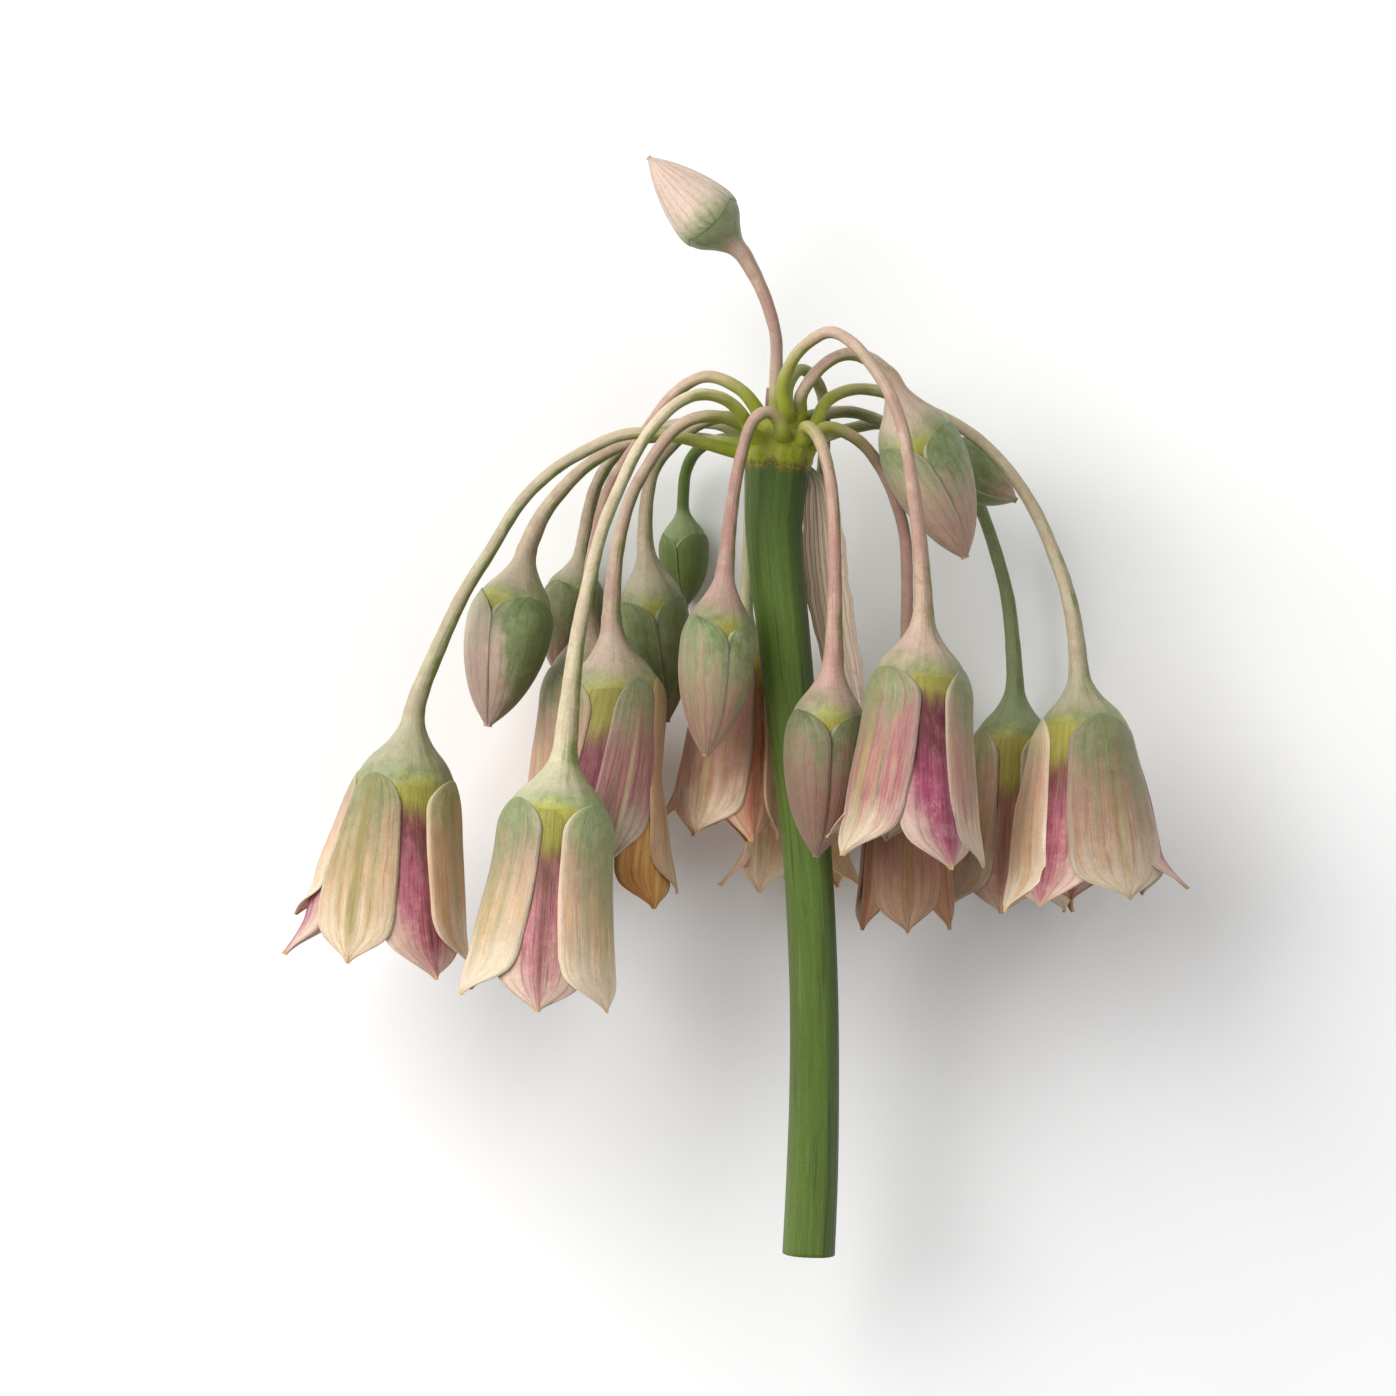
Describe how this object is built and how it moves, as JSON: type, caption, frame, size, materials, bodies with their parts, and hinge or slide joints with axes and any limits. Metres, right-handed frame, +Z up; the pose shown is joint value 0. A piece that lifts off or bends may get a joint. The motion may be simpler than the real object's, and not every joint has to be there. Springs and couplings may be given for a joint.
{
  "type": "cut sicilian honey garlic flower",
  "caption": "Cut stem of Sicilian honey garlic lying flat: hanging bells and closed buds on arching stalks that spring from one hub, with a papery bract.",
  "frame": {"origin": "on the surface the flower lies on, under the middle of its bounding box", "axes": "+Y from the cut end of the stem towards the hub and the top bud, +X right, +Z up from the surface towards somebody looking down on the flower"},
  "size_m": [0.0888, 0.1104, 0.0429],
  "materials": {
    "stem": "satin green, faintly ribbed",
    "stalk": "satin, mauve to olive",
    "petals": "soft matt, cream with dusty pink and green stripes",
    "bud": "soft matt, grey green to dusty mauve",
    "heart": "soft matt, yellow green",
    "bract": "dry, papery, finely veined"
  },
  "bodies": {
    "root": {"scape": "stem", "spathe": "bract", "bell_far_left_stalk": "stalk", "bell_far_left_petals": "petals", "bell_far_left_heart": "heart", "bell_front_left_stalk": "stalk", "bell_front_left_petals": "petals", "bell_front_left_heart": "heart", "bell_inner_left_stalk": "stalk", "bell_inner_left_petals": "petals", "bell_inner_left_heart": "heart", "bell_back_left_stalk": "stalk", "bell_back_left_petals": "petals", "bell_back_left_heart": "heart", "bell_centre_back_stalk": "stalk", "bell_centre_back_petals": "petals", "bell_centre_back_heart": "heart", "bell_behind_stem_stalk": "stalk", "bell_behind_stem_petals": "petals", "bell_behind_stem_heart": "heart", "bell_front_right_stalk": "stalk", "bell_front_right_petals": "petals", "bell_front_right_heart": "heart", "bell_low_right_stalk": "stalk", "bell_low_right_petals": "petals", "bell_low_right_heart": "heart", "bell_inner_right_stalk": "stalk", "bell_inner_right_petals": "petals", "bell_inner_right_heart": "heart", "bell_far_right_stalk": "stalk", "bell_far_right_petals": "petals", "bell_far_right_heart": "heart", "bud_top_stalk": "stalk", "bud_top_petals": "bud", "bud_left_stalk": "stalk", "bud_left_petals": "bud", "bud_left_back_stalk": "stalk", "bud_left_back_petals": "bud", "bud_back_stalk": "stalk", "bud_back_petals": "bud", "bud_middle_left_stalk": "stalk", "bud_middle_left_petals": "bud", "bud_front_centre_stalk": "stalk", "bud_front_centre_petals": "bud", "bud_front_of_stem_stalk": "stalk", "bud_front_of_stem_petals": "bud", "bud_upper_right_stalk": "stalk", "bud_upper_right_petals": "bud", "bud_upper_right_back_stalk": "stalk", "bud_upper_right_back_petals": "bud"}
  },
  "joints": []
}
